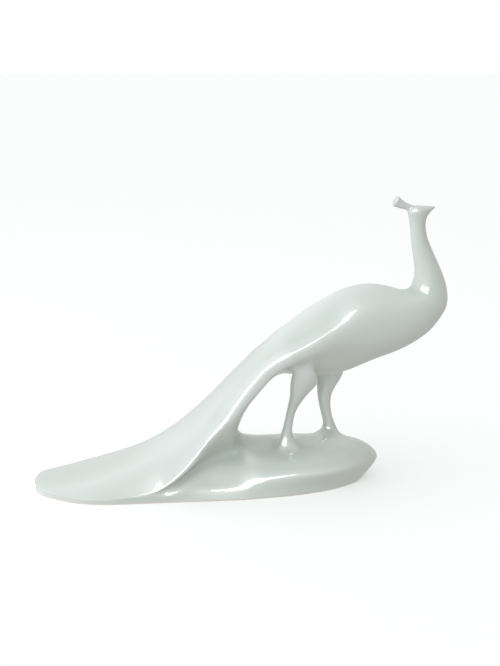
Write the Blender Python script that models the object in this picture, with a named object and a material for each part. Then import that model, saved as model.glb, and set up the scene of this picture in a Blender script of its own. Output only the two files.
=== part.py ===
"""Peacock figurine: glazed porcelain, cast in one piece on its own low mound.

The beak points along +X, the side that is seen most often faces -Y, and the origin is under the
middle of the figure on the surface that it stands on. One cage of quads is worked out from the
sizes below and made smooth by subdivision.
"""
from math import cos, radians, sin

import bmesh
import bpy
import numpy as np
from mathutils import Matrix, Vector

# Overall sizes, in metres
LENGTH = 0.2754
WIDTH = 0.0772
HEIGHT = 0.190

# Sizes that don't follow the overall ones
RIM_THICKNESS = 0.0070
SHANK_DIAMETER = 0.0060
LEG_SPACING = 0.0195
FOOT_RING_WIDTH = 0.0060
RECESS_DEPTH = 0.0015

# The figure is drawn on a grid of this many squares, which a change of its sizes stretches
GRID_LENGTH = 275.4
GRID_WIDTH = 77.25
GRID_HEIGHT = 190.0

# Where the rows of the cage lie, from the near side at -1 to the far side at 1
SIDES = [-1, -2 / 3, -1 / 3, 0, 1 / 3, 2 / 3, 1]

# Body, neck and head, from where the train leaves the mound to the beak: the top and the bottom
# of each section, its half width, the height of its widest line between bottom and top, how far
# that line is drawn out to an edge, and the number of rings up to the next section
SECTIONS = [
    (115.8, 57.7, 133.2, 39.0, 30.6, 0.54, 1.00, 2),
    (130.0, 72.2, 143.2, 58.0, 28.8, 0.50, 1.00, 1),
    (139.0, 81.1, 151.5, 68.0, 27.8, 0.51, 1.00, 1),
    (147.0, 89.2, 160.0, 74.5, 27.2, 0.55, 1.00, 1),
    (158.0, 100.3, 169.0, 73.5, 27.0, 0.57, 1.00, 2),
    (172.0, 111.3, 187.0, 70.8, 25.0, 0.60, 1.00, 2),
    (187.0, 121.5, 206.0, 74.3, 22.0, 0.59, 0.80, 2),
    (203.0, 129.2, 225.0, 81.8, 19.6, 0.52, 0.15, 2),
    (219.0, 132.6, 245.0, 89.2, 17.4, 0.50, 0.00, 2),
    (233.0, 131.0, 263.5, 101.6, 15.6, 0.50, 0.00, 2),
    (242.0, 128.2, 273.7, 118.5, 13.0, 0.50, 0.00, 1),
    (248.2, 129.0, 272.9, 130.0, 10.5, 0.50, 0.00, 1),
    (251.3, 138.0, 268.6, 142.0, 8.4, 0.50, 0.00, 1),
    (250.3, 148.5, 262.8, 154.0, 6.6, 0.50, 0.00, 1),
    (248.3, 160.5, 258.9, 163.3, 5.5, 0.50, 0.00, 1),
    (247.2, 170.5, 257.5, 170.4, 5.1, 0.50, 0.00, 1),
    (246.0, 176.8, 257.8, 174.8, 5.4, 0.50, 0.00, 1),
    (244.8, 181.0, 258.9, 177.4, 5.7, 0.50, 0.00, 1),
    (248.4, 183.9, 260.1, 179.2, 5.2, 0.50, 0.00, 1),
    (253.8, 183.8, 261.3, 180.3, 3.8, 0.50, 0.00, 1),
    (258.6, 183.4, 262.4, 181.5, 2.1, 0.50, 0.00, 1),
    (262.6, 183.3, 263.4, 182.3, 0.7, 0.50, 0.00, 0),
]
NEAR_THIGH = 158.0
FAR_THIGH = 172.0
CREST_HEIGHT = 181.0
ROUND_TURN = 67.5
UPPER_SPREAD = 0.96
BELLY_SPREAD = [(133, 0.68), (141.5, 0.77), (150, 0.86)]

# Train where it lies on the mound: its side columns, and curves along the length
TAIL_COLUMNS = [17.6, 28, 40, 53, 66, 78, 88, 97, 105, 113, 121.2]
TAIL_END = 53.0
TAIL_BULGE = 17.6
TAIL_BULGE_POWER = 2.2
MEETING_BULGE = 2.4
TIP_OFFSET = 3.3
TIP_REACH = 25.0
TIP_POWER = 1.5
RIM_HEIGHT = [(0, 4.2), (40, 4.2), (66, 6.5), (80, 10.3), (90, 16.7), (100, 24.3), (121.2, 46.4)]
RIDGE_HEIGHT = [(0, 4.2), (30, 10.6), (60, 20.0), (85, 32.9), (103, 45.8), (121.2, 62.6)]
CROWN_POWER = [(40, 4.0), (60, 3.4), (80, 2.7), (100, 2.4), (121.2, 2.2), (160, 1.5)]
CROWD_POWER = 0.65
RIM_HALF_WIDTH = [(TAIL_END, 37.3), (85, 37.0), (100, 36.0), (110, 34.0), (121.2, 31.5)]
PARTING = (80, 112)
TAIL_END_INSET = 0.02
TAIL_SIDE_INSET = 0.3
UNDER_RIM_OUTSET = 0.1

# How the columns lean forward on their way down from the rim to the ground
LEAN_START = 66.0
LEAN_POWER = 1.6
VALLEY_LEAN = 8.5
SHOULDER_LEAN = 11.9
SIDE_LEAN = 13.0
GROUND_LEAN = 13.4

# Valley between the train and the mound, and the saddle where it ends in the opening
VALLEY_HALF_WIDTH = [(80, 37.4), (90, 33.5), (100, 28), (115, 21), (129.5, 16)]
VALLEY_HEIGHT = [(80, 6.5), (90, 11.2), (100, 17.5), (114, 25.0), (129.5, 28.8)]
SADDLE = (133.2, 39.0)
SADDLE_SWEEP = (3.7, 16.0, 10.2)

# Mound: columns of its top from the saddle to the bow
MOUND_COLUMNS = [138.3, 147, 158, 166.5, 175, 189, 197.5, 206, 214, 221]
NEAR_FOOT = 166.5
FAR_FOOT = 197.5
MOUND_SWEEP = 16.2
MOUND_SWEEP_START = 150.0
MOUND_SWEEP_POWER = 2.2
SADDLE_SHARES = [0.6, 0.3]
SADDLE_SHOULDER_RISE = 2.5
SADDLE_SIDE_LEAN = 6.0
SLOPE_SHARE = 0.55
MOUND_ROWS = [(0, 0), (1, 0.27), (2, 0.52), (3, 0.73)]
MOUND_HEIGHT = [(138.3, 30.5), (147, 29), (200, 29), (208, 28), (217, 25), (224, 21), (229.5, 15.5)]
GROUND_HALF_WIDTH = 38.4
SHOULDER_HALF_WIDTH = [(85, 35.5), (100, 31.0), (115, 31.8), (130, 33.0), (150, 34.6), (172, 35.6)]
SHOULDER_HEIGHT = [(85, 6.5), (100, 10.0), (130, 11.5), (150, 12.5), (172, 14.0)]
MOUND_ROUNDNESS = 0.92
SIDE_SHARE = 0.55
SIDE_BULGE = 0.62
GROUND_TAPER = (100, 219.5, 3, 0.6)
SHOULDER_TAPER = (150, 229.5, 3.6, 1.15)

# Bow: its tip on the shoulder and on the ground, and the last columns of its sides
BOW = 229.5
BOW_AT_GROUND = 219.3
BOW_SIDE = 208.0
BOW_GROUND_SIDE = 200.0
BOW_POWER = 1.33
BOW_MIDDLE = 195.0
BOW_INSET = 0.25
BOW_SWELL = 3.2
BOW_UNDERCUT = 5.0
BOW_SIDE_SHARE = 0.66

# Legs from thigh to foot: place along and up, place across as a share of half the legs' spacing,
# half thickness along and across as shares of half the shank's, and outward rise of the section
NEAR_LEG = [(175.8, 76.0, 1.75, 2.75, 2.15, 0.40), (175.8, 70.0, 1.62, 2.95, 2.10, 0.25),
            (173.3, 63.5, 1.44, 2.05, 1.85, 0.10), (170.9, 57.0, 1.20, 1.42, 1.48, 0),
            (168.4, 49.5, 1.03, 1.00, 1.02, 0), (166.8, 41.5, 1.00, 0.98, 1.00, 0),
            (165.9, 36.5, 1.00, 1.12, 1.14, 0), (165.6, 31.6, 1.00, 1.70, 1.70, 0)]
FAR_LEG = [(198.0, 77.0, 1.75, 3.05, 2.15, 0.40), (197.9, 71.0, 1.62, 3.38, 2.10, 0.25),
           (197.0, 64.0, 1.44, 2.62, 1.85, 0.10), (194.6, 57.0, 1.20, 1.78, 1.55, 0),
           (194.2, 49.5, 1.03, 1.34, 1.20, 0), (195.4, 42.0, 1.00, 1.20, 1.08, 0),
           (196.9, 36.5, 1.00, 1.22, 1.18, 0), (197.6, 31.6, 1.00, 1.75, 1.75, 0)]

# Crest on the back of the head: centre, half thickness and half width
CREST_ROOT = (245.2, 183.0)
CREST = [(241.9, 184.3, 2.6, 2.4), (238.8, 186.0, 3.0, 2.8), (236.8, 187.15, 3.15, 3.1)]
CREST_CORNERS = [(-0.75, -1), (-1, 0), (-0.75, 1), (0.75, 1), (1, 0), (0.75, -1)]


def mix(a, b, share):
    return a + (b - a) * share


def smoothstep(low, high, x):
    s = min(max((x - low) / (high - low), 0), 1)
    return s * s * (3 - 2 * s)


def nearest(values, value):
    """Number of the one of the values that lies nearest to value."""
    return min(range(len(values)), key=lambda i: abs(values[i] - value))


def curve(points, x):
    """Height at x of a smooth curve through the points, level beyond its ends."""
    xs, ys = np.array(points, float).T
    steps = np.diff(xs)
    slopes = np.diff(ys) / steps
    tangents = np.concatenate([slopes[:1], (slopes[:-1] + slopes[1:]) / 2, slopes[-1:]])
    tangents[1:-1][slopes[:-1] * slopes[1:] <= 0] = 0
    x = min(max(x, xs[0]), xs[-1])
    i = min(int(np.searchsorted(xs, x, side="right")) - 1, len(steps) - 1)
    s = (x - xs[i]) / steps[i]
    rise, start, end = ys[i + 1] - ys[i], tangents[i] * steps[i], tangents[i + 1] * steps[i]
    return ys[i] + start * s + (3 * rise - 2 * start - end) * s**2 + (start + end - 2 * rise) * s**3


def crowded(t):
    """Share of the half width at t; the rows lie closer together near the rims."""
    return np.sign(t) * abs(t) ** CROWD_POWER


def tail_half_width(x, full):
    """Half width of the tail's rounded end, half an ellipse, and of the straight run after it."""
    reach = min(max((TAIL_END - x) / TAIL_END, 0), 1)
    return full * (1 - reach**2) ** 0.5


def rim_half_width(x):
    full = curve(RIM_HALF_WIDTH, x)
    return tail_half_width(x, full)


def tapered(x, start, end, power, roundness):
    """Share of the full width left at x, from 1 at the start of a taper to 0 at its end."""
    reach = min(max((x - start) / (end - start), 0), 1)
    return (1 - reach**power) ** roundness


def ground_half_width(x):
    return tail_half_width(x, GROUND_HALF_WIDTH) * tapered(x, *GROUND_TAPER)


def shoulder_half_width(x):
    return curve(SHOULDER_HALF_WIDTH, x) * tapered(x, *SHOULDER_TAPER)


def mound_height(x, y):
    share = min(abs(y) / max(shoulder_half_width(x), 1), 1)
    shoulder = curve(SHOULDER_HEIGHT, x)
    return shoulder + (curve(MOUND_HEIGHT, x) - shoulder) * (1 - share**2) ** MOUND_ROUNDNESS


def bow_line(t, tip, side_x):
    """Plan point of a loop round the bow, whose last side column is at side_x."""
    x = tip - (tip - side_x) * abs(t) ** BOW_POWER
    width = shoulder_half_width(x) if tip == BOW else ground_half_width(x)
    return x, 0.0 if t == 0 else width * np.sign(t)


def body_sections():
    """The sections with the rings between them, and the number of each section's own ring."""
    keys = np.array([section[:7] for section in SECTIONS], float)
    rings, starts = [], []
    for i, section in enumerate(SECTIONS):
        starts.append(len(rings))
        rings.append(keys[i])
        before, after = keys[max(i - 1, 0)], keys[min(i + 2, len(keys) - 1)]
        for step in range(1, section[7]):
            s = step / section[7]
            a, b = keys[i], keys[i + 1]
            rings.append(a + 0.5 * ((b - before) * s + (2 * before - 5 * a + 4 * b - after) * s**2
                                    + (3 * a - before - 3 * b + after) * s**3))
    return rings, starts


class FigurineCage:
    """Closed cage of quads whose smooth surface is the figurine, from its sizes in metres."""

    def __init__(self, length, width, height, rim, shank, leg_spacing, foot_ring, recess):
        self.unit = Vector((length / GRID_LENGTH, width / GRID_WIDTH, height / GRID_HEIGHT))
        self.rim = rim / self.unit.z
        self.shank = shank
        self.leg_spacing = leg_spacing
        self.foot_ring = foot_ring
        self.recess = recess
        self.mesh = bmesh.new()

    def point(self, x, y, z):
        """Place of a point of the grid; the tail's tip is set a little to one side."""
        aside = TIP_OFFSET * min(max(1 - x / TIP_REACH, 0), 1) ** TIP_POWER
        return Vector((x * self.unit.x, (y + aside) * self.unit.y, z * self.unit.z))

    def add(self, place):
        return self.mesh.verts.new(place)

    def bridge(self, loops):
        """Quads between closed loops of as many vertices."""
        for one, two in zip(loops, loops[1:]):
            for i in range(len(one)):
                n = (i + 1) % len(one)
                self.mesh.faces.new((one[i], one[n], two[n], two[i]))

    def patch(self, lines, skipped=()):
        """Quads between open lines of as many vertices, but for the ones in skipped."""
        for c, (one, two) in enumerate(zip(lines, lines[1:])):
            for row in range(len(one) - 1):
                if (c, row) not in skipped:
                    self.mesh.faces.new((one[row], one[row + 1], two[row + 1], two[row]))

    def tail_top(self, column, t):
        """Grid point on the train's upper side, t from -1 at the near rim to 1 at the far rim."""
        share = column / (len(TAIL_COLUMNS) - 1)
        side_x = TAIL_COLUMNS[column]
        bulge = TAIL_BULGE * (1 - share) ** TAIL_BULGE_POWER + MEETING_BULGE * share**2
        x = side_x - bulge * (1 - t * t)
        spread = mix(1, UPPER_SPREAD, smoothstep(*PARTING, side_x))
        y = crowded(t) * rim_half_width(side_x) * spread
        inside = 1 - min(abs(y) / max(rim_half_width(x), 1), 1) ** curve(CROWN_POWER, x)
        lip = self.rim / 2 * abs(t) * smoothstep(*PARTING, side_x)
        return x, y, mix(curve(RIM_HEIGHT, x), curve(RIDGE_HEIGHT, x), inside) + lip

    def tail_side(self, column, t, level):
        """Point on the tail's side: level 1 is under the rim, 2 in the valley, 3 on the slope
        below it, 4 on the shoulder, 5 on the side and 6 on the ground."""
        side_x = TAIL_COLUMNS[column]
        x, y, rim = self.tail_top(column, t)
        side = np.sign(t)
        lean = max((side_x - LEAN_START) / (TAIL_COLUMNS[-1] - LEAN_START), 0) ** LEAN_POWER
        parted = smoothstep(*PARTING, side_x)
        low = rim * (1 - level / 6)
        if column == 0:
            x -= (TAIL_END - x) * TAIL_END_INSET * (1 - t * t)
            width = abs(y) * GROUND_HALF_WIDTH / RIM_HALF_WIDTH[0][1]
        else:
            width = ground_half_width(x)
        if level == 1:
            inset = TAIL_SIDE_INSET * (column > 0)
            width = mix(width - inset, rim_half_width(side_x) + UNDER_RIM_OUTSET, parted)
            return self.point(x, side * width, mix(low, rim - self.rim, parted))
        if level == 2 and side_x > VALLEY_HEIGHT[0][0]:
            x += VALLEY_LEAN * lean
            return self.point(x, side * curve(VALLEY_HALF_WIDTH, x), curve(VALLEY_HEIGHT, x))
        if level == 3:
            valley, shoulder = self.tail_side(column, t, 2), self.tail_side(column, t, 4)
            return valley.lerp(shoulder, 0.5)
        shoulder = curve(SHOULDER_HALF_WIDTH, x)
        middle = mix(shoulder, width, SIDE_BULGE)
        width = mix(width, {4: shoulder, 5: middle}.get(level, width), parted)
        top = curve(SHOULDER_HEIGHT, x)
        height = mix(low, {4: top, 5: top * SIDE_SHARE}.get(level, low), parted)
        leans = {4: SHOULDER_LEAN, 5: SIDE_LEAN, 6: GROUND_LEAN}
        x += leans.get(level, VALLEY_LEAN) * lean
        return self.point(x, side * width, height)

    def section_ring(self, section):
        """The sixteen points of a section: upper rows, far edge, lower rows back, near edge."""
        top_x, top_z, bottom_x, bottom_z, half_width, widest, edge = section[:7]
        depth = np.hypot(top_x - bottom_x, top_z - bottom_z)
        lip = self.rim / 2 / depth
        spread = curve(BELLY_SPREAD, bottom_x)
        power = curve(CROWN_POWER, top_x)

        def place(y, share):
            return self.point(mix(bottom_x, top_x, share), y, mix(bottom_z, top_z, share))

        upper, lower = [], []
        for t in SIDES:
            turn = radians(ROUND_TURN) * t
            crown = (1 - widest) * (1 - abs(crowded(t)) ** power) + lip * abs(t)
            top_share = widest + mix((1 - widest) * cos(turn), crown, edge)
            low_share = mix(widest - widest * cos(turn), (widest - lip) * (t * spread) ** 2, edge)
            upper.append(place(half_width * mix(sin(turn), UPPER_SPREAD * crowded(t), edge), top_share))
            lower.append(place(half_width * mix(sin(turn), t * spread, edge), low_share))
        edges = [place(side * half_width, widest - lip * edge) for side in (1, -1)]
        return upper + edges[:1] + lower[::-1] + edges[1:]

    def mound_top(self, column, t):
        """Grid point on the mound's top; column 0 is the first one in front of the saddle."""
        if column == len(MOUND_COLUMNS) - 1:
            x, y = bow_line(t, BOW, BOW_SIDE)
            x, y = mix(x, BOW_MIDDLE, BOW_INSET), mix(y, 0, BOW_INSET)
            return x, y, mound_height(x, y)
        x = MOUND_COLUMNS[column]
        reach = max((x - MOUND_SWEEP_START) / (MOUND_COLUMNS[-1] - MOUND_SWEEP_START), 0)
        x -= MOUND_SWEEP * reach**MOUND_SWEEP_POWER * t * t
        y = curve(MOUND_ROWS, abs(t) * 3) * shoulder_half_width(x)
        narrow = SADDLE_SHARES[column] if column < len(SADDLE_SHARES) else 0
        y = np.sign(t) * mix(y, abs(t) * SADDLE_SWEEP[1], narrow)
        return x, y, mound_height(x, y) + SADDLE_SHOULDER_RISE * narrow * t * t

    def mound_side(self, column, t, level):
        """Point on the mound's side, with the levels of tail_side from 3 on."""
        share = column / (len(MOUND_COLUMNS) - 1)
        inner = self.mound_top(column, t)
        if share == 1:
            top, ground = bow_line(t, BOW, BOW_SIDE), bow_line(t, BOW_AT_GROUND, BOW_GROUND_SIDE)
        else:
            x = inner[0] + SADDLE_SIDE_LEAN * max(1 - column / 3, 0)
            top_x, ground_x = x + BOW_SWELL * share**4, x - BOW_UNDERCUT * share**3
            top = top_x, np.sign(t) * shoulder_half_width(top_x)
            ground = ground_x, np.sign(t) * ground_half_width(ground_x)
        if level == 3:
            x, y = mix(inner[0], top[0], SLOPE_SHARE), mix(inner[1], top[1], SLOPE_SHARE)
            return self.point(x, y, mound_height(x, y))
        if level == 4:
            return self.point(*top, curve(SHOULDER_HEIGHT, top[0]))
        if level == 5:
            height = curve(SHOULDER_HEIGHT, top[0]) * SIDE_SHARE
            x = mix(ground[0], top[0], BOW_SIDE_SHARE)
            return self.point(x, mix(top[1], ground[1], SIDE_BULGE), height)
        return self.point(*ground, 0)

    def make_mound(self):
        """Tail, mound and underside, up to the last section's ring edges; fills self.tail,
        self.saddle, self.mound and the first ring's two edge vertices."""
        last_tail, last_mound = len(TAIL_COLUMNS) - 1, len(MOUND_COLUMNS) - 1
        first = [self.add(p) for p in self.section_ring(SECTIONS[0])[:8]]
        first_near = self.add(self.section_ring(SECTIONS[0])[15])
        tail = [[self.add(self.point(*self.tail_top(c, t))) for t in SIDES] for c in range(last_tail)]
        tail.append(first[:7])
        saddle = [self.add(self.point(SADDLE[0] - SADDLE_SWEEP[0] * t * t, SADDLE_SWEEP[1] * t,
                                      SADDLE[1] - SADDLE_SWEEP[2] * t * t)) for t in SIDES]
        mound = [saddle]
        for c in range(last_mound + 1):
            mound.append([self.add(self.point(*self.mound_top(c, t))) for t in SIDES])

        # Way round the tail from the near side of the saddle to its far side, then round the bow
        round_tail = [(c, 0) for c in range(last_tail, -1, -1)]
        round_tail += [(0, row) for row in range(1, 6)] + [(c, 6) for c in range(last_tail + 1)]
        round_bow = [(c, 6) for c in range(last_mound + 1)]
        round_bow += [(last_mound, row) for row in range(5, 0, -1)]
        round_bow += [(c, 0) for c in range(last_mound, -1, -1)]

        rim = [tail[c][row] for c, row in round_tail]
        under_rim = [self.add(self.tail_side(c, SIDES[row], 1)) for c, row in round_tail[1:-1]]
        under_rim = [first_near] + under_rim + [first[7]]
        valley = [self.add(self.tail_side(c, SIDES[row], 2)) for c, row in round_tail[1:-1]]
        valley = [saddle[0]] + valley + [saddle[6]]
        self.patch([rim, under_rim, valley])
        self.patch(tail)
        loops = [valley + [mound[c + 1][row] for c, row in round_bow]]
        for level in (3, 4, 5, 6):
            places = [self.tail_side(c, SIDES[row], level) for c, row in round_tail]
            places += [self.mound_side(c, SIDES[row], level) for c, row in round_bow]
            loops.append([self.add(p) for p in places])
        loops += self.underside(loops[-1], last_tail + 3)
        self.bridge(loops)
        self.sharp_loops = loops[-3:]
        near, far = (nearest(MOUND_COLUMNS, foot) for foot in (NEAR_FOOT, FAR_FOOT))
        skipped = {(near + c, row) for c in (0, 1) for row in (1, 2)}
        skipped |= {(far + c, row) for c in (0, 1) for row in (3, 4)}
        self.patch(mound, skipped)
        return [first + saddle[::-1] + [first_near]], mound

    def underside(self, ground, middle):
        """The foot ring's inner edge and the recess inside it, closed from side to side."""
        plan = [vert.co.copy() for vert in ground]
        count = len(plan)
        inner, recess = [], []
        for i, place in enumerate(plan):
            along = plan[(i + 1) % count] - plan[i - 1]
            inward = Vector((along.y, -along.x, 0)).normalized()
            inner.append(self.add(place + inward * self.foot_ring))
            rise = Vector((0, 0, self.recess))
            recess.append(self.add(place + inward * (self.foot_ring + self.recess) + rise))
        for d in range(count // 2):
            corners = (middle - d, middle + d, middle + d + 1, middle - d - 1)
            self.mesh.faces.new([recess[i] for i in dict.fromkeys(c % count for c in corners)])
        return [inner, recess]

    def make_body(self, rings):
        """Body, neck and head, with holes for the legs and the crest; closes the beak."""
        sections, starts = body_sections()
        rings += [[self.add(p) for p in self.section_ring(s)] for s in sections[1:]]
        tops, heights = [section[0] for section in SECTIONS], [section[1] for section in SECTIONS]
        near, far = starts[nearest(tops, NEAR_THIGH)], starts[nearest(tops, FAR_THIGH)]
        crest = starts[nearest(heights, CREST_HEIGHT)]
        skipped = {(near + c, 13 - row) for c in (0, 1) for row in (0, 1)}
        skipped |= {(far + c, 13 - row) for c in (0, 1) for row in (4, 5)}
        skipped |= {(crest, 2), (crest, 3)}
        self.patch([ring + ring[:1] for ring in rings], skipped)
        tip = rings[-1]
        self.mesh.faces.new((tip[15], tip[0], tip[14]))
        self.mesh.faces.new((tip[6], tip[7], tip[8]))
        for i in range(6):
            self.mesh.faces.new((tip[i], tip[i + 1], tip[13 - i], tip[14 - i]))
        return near, far, crest

    def make_leg(self, profile, side, thigh, toes):
        """Rings of eight vertices from a hole in the belly to a hole in the mound."""
        loops = [thigh]
        for x, z, across, thick, wide, rise in profile:
            centre = self.point(x, 0, z) + Vector((0, side * across * self.leg_spacing / 2, 0))
            along = Vector((thick, 0, 0)) * self.shank / 2
            outward = Vector((0, wide, side * rise * wide)) * self.shank / 2
            turns = [radians(225 + 45 * i) for i in range(8)]
            loops.append([self.add(centre + along * cos(a) + outward * sin(a)) for a in turns])
        self.bridge(loops + [toes])

    def make_crest(self, back, front):
        """Fan of the crest, on a hole in the back of the head."""
        root = self.point(CREST_ROOT[0], 0, CREST_ROOT[1])
        along = (self.point(CREST[-1][0], 0, CREST[-1][1]) - root).normalized()
        thin = Vector((along.z, 0, -along.x))
        loops = [[back[2], back[3], back[4], front[4], front[3], front[2]]]
        for x, z, thick, wide in CREST:
            centre = self.point(x, 0, z)
            loops.append([self.add(centre + thin * thick * a * self.unit.z
                                   + Vector((0, wide * b * self.unit.y, 0))) for a, b in CREST_CORNERS])
        self.bridge(loops)
        end = loops[-1]
        self.mesh.faces.new((end[0], end[1], end[4], end[5]))
        self.mesh.faces.new((end[1], end[2], end[3], end[4]))

    def build(self):
        """Makes the whole cage, closed and with its faces outwards, and returns its mesh."""
        rings, mound = self.make_mound()
        near, far, crest = self.make_body(rings)
        hole = [(0, 0), (0, 1), (0, 2), (1, 2), (2, 2), (2, 1), (2, 0), (1, 0)]
        for profile, side, ring, foot, high_row, low_row in (
                (NEAR_LEG, -1, near, nearest(MOUND_COLUMNS, NEAR_FOOT), 0, 1),
                (FAR_LEG, 1, far, nearest(MOUND_COLUMNS, FAR_FOOT), 4, 3)):
            thigh = [rings[ring + c][14 - high_row - r] for r, c in hole]
            toes = [mound[foot + c][low_row + r] for r, c in hole]
            self.make_leg(profile, side, thigh, toes)
        self.make_crest(rings[crest], rings[crest + 1])
        for vert in [v for v in self.mesh.verts if not v.link_faces]:
            self.mesh.verts.remove(vert)
        self.crease = self.mesh.edges.layers.float.new("crease_edge")
        for loop in self.sharp_loops:
            for one, two in zip(loop, loop[1:] + loop[:1]):
                self.mesh.edges.get((one, two))[self.crease] = 1.0
        bmesh.ops.recalc_face_normals(self.mesh, faces=self.mesh.faces)
        return self.mesh

    def limit_point(self, vert):
        """Where a vertex of the cage comes to lie on the smooth surface."""
        others = [edge.other_vert(vert) for edge in vert.link_edges]
        sharp = [other.co for other, edge in zip(others, vert.link_edges) if edge[self.crease] > 0]
        if len(sharp) == 2:
            return (sharp[0] + 4 * vert.co + sharp[1]) / 6
        total = sum((other.co for other in others), Vector()) * 4
        for face in vert.link_faces:
            corner = [v.co for v in face.verts if v is not vert and v not in others]
            total += corner[0] if corner else vert.co
        count = len(others)
        return (count**2 * vert.co + total) / (count * (count + 5))

    def fit(self, passes):
        """Moves the cage so that its smooth surface passes through the points of the drawing."""
        wanted = [vert.co.copy() for vert in self.mesh.verts]
        for _ in range(passes):
            moves = [w - self.limit_point(vert) for vert, w in zip(self.mesh.verts, wanted)]
            for vert, move in zip(self.mesh.verts, moves):
                vert.co += move


def glazed_porcelain():
    material = bpy.data.materials.new("glazed_porcelain")
    material.use_nodes = True
    shader = material.node_tree.nodes["Principled BSDF"]
    shader.inputs["Base Color"].default_value = (0.68, 0.72, 0.69, 1)
    shader.inputs["Roughness"].default_value = 0.08
    shader.inputs["Metallic"].default_value = 0.0
    return material


def centre_on_origin(figurine):
    """Moves the mesh so that the middle of the smooth figurine's box is over the origin."""
    smooth = figurine.evaluated_get(bpy.context.evaluated_depsgraph_get())
    places = np.array([vert.co for vert in smooth.to_mesh().vertices])
    smooth.to_mesh_clear()
    middle = (places.min(axis=0) + places.max(axis=0)) / 2
    figurine.data.transform(Matrix.Translation((-middle[0], -middle[1], 0)))


def make_figurine():
    cage = FigurineCage(LENGTH, WIDTH, HEIGHT, RIM_THICKNESS, SHANK_DIAMETER, LEG_SPACING,
                        FOOT_RING_WIDTH, RECESS_DEPTH)
    mesh = cage.build()
    cage.fit(2)
    data = bpy.data.meshes.new("peacock_figurine")
    mesh.to_mesh(data)
    mesh.free()
    data.shade_smooth()
    figurine = bpy.data.objects.new("peacock_figurine", data)
    bpy.context.collection.objects.link(figurine)
    smooth = figurine.modifiers.new("smooth", "SUBSURF")
    smooth.levels = 1
    smooth.render_levels = 1
    centre_on_origin(figurine)
    data.materials.append(glazed_porcelain())
    return figurine


def main():
    for old in list(bpy.data.objects):
        bpy.data.objects.remove(old)
    make_figurine()


main()
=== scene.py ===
"""Looks of the peacock figurine: its finely smoothed porcelain, and the studio it is shown in."""

from math import cos, radians, sin

import bmesh
import bpy
import numpy as np
from bpy.props import FloatProperty, FloatVectorProperty, IntProperty, PointerProperty
from mathutils import Matrix, Vector


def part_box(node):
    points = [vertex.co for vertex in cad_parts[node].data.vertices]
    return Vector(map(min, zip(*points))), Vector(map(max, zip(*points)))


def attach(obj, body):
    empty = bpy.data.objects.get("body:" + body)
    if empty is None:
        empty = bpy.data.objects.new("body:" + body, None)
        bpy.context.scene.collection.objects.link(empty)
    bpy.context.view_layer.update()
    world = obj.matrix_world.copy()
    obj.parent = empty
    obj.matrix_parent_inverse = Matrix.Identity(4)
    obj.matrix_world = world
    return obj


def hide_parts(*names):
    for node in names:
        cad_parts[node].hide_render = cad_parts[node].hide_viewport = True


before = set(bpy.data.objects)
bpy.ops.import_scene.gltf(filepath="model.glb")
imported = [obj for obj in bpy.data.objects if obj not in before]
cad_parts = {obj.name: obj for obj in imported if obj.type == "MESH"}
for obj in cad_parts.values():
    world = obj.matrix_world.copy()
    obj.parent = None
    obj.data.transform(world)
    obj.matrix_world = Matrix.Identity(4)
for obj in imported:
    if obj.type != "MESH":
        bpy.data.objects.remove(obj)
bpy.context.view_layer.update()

bl_info = {
    "name": "Peacock Figurine",
    "version": (1, 0, 0),
    "blender": (4, 5, 0),
    "location": "View3D > Sidebar > Peacock",
    "description": "Glazed porcelain peacock on its mound, with a plain studio",
    "category": "Add Mesh",
}

NODE = "peacock_figurine"
BOX_LOW, BOX_HIGH = (Vector(corner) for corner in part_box(NODE))
SIZE = BOX_HIGH - BOX_LOW

# The figure is drawn on a grid of this many squares, which a change of its sizes stretches
GRID_LENGTH = 275.4
GRID_WIDTH = 77.25
GRID_HEIGHT = 190.0

# Where the rows of the cage lie, from the near side at -1 to the far side at 1
SIDES = [-1, -2 / 3, -1 / 3, 0, 1 / 3, 2 / 3, 1]
NEAR_ROW, FAR_ROW = 0, 6

# Points of a section that make its edges; its upper rows come before them, and its lower rows,
# from the far side back to the near one, between them
FAR_EDGE, NEAR_EDGE = 7, 15

# Levels of the side of tail and mound, from the rim down to the ground
UNDER_RIM, VALLEY, SLOPE, SHOULDER, SIDE, GROUND = range(1, 7)

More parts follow.
